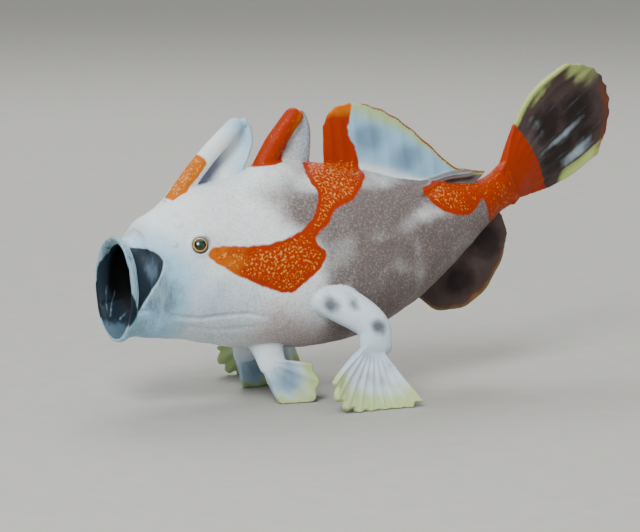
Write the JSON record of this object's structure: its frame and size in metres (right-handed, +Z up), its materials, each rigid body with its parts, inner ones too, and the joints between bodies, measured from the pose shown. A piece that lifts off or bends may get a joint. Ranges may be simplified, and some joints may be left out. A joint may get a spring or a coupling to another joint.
{
  "type": "warty frogfish model",
  "caption": "Life-size model of a young warty frogfish standing on its paired fins with its mouth wide open, white with orange patches.",
  "frame": {"origin": "middle of the model's footprint, on the level that its fins stand on", "axes": "+Z up, the snout points to -X and the tail to +X, the fish's left side faces -Y"},
  "size_m": [0.076, 0.032, 0.0394],
  "materials": {
    "white_skin": "satin, fine granular skin, white with a blue cast and brown-grey smudges",
    "orange_skin": "satin, fine granular skin, orange patches with pale specks",
    "lip_skin": "satin, thin translucent blue-grey skin of the lips and mouth",
    "pale_fin": "satin, white to blue-grey fin skin with yellow-green rims",
    "dark_fin": "satin, dark translucent fin skin with a yellow-green rim",
    "eye": "glossy, black pupil in a thin gold ring"
  },
  "bodies": {
    "root": {"head": "white_skin", "upper_jaw": "lip_skin", "lower_jaw": "lip_skin", "torso": "white_skin", "tail": "orange_skin", "caudal_fin": "dark_fin", "dorsal_fin": "pale_fin", "dorsal_spine_2": "white_skin", "dorsal_spine_3": "orange_skin", "fishing_rod": "white_skin", "anal_fin": "dark_fin", "eye_left": "eye", "pectoral_arm_left": "white_skin", "pectoral_fin_left": "pale_fin", "pelvic_fin_left": "pale_fin", "eye_right": "eye", "pectoral_arm_right": "white_skin", "pectoral_fin_right": "pale_fin", "pelvic_fin_right": "pale_fin"}
  },
  "joints": []
}
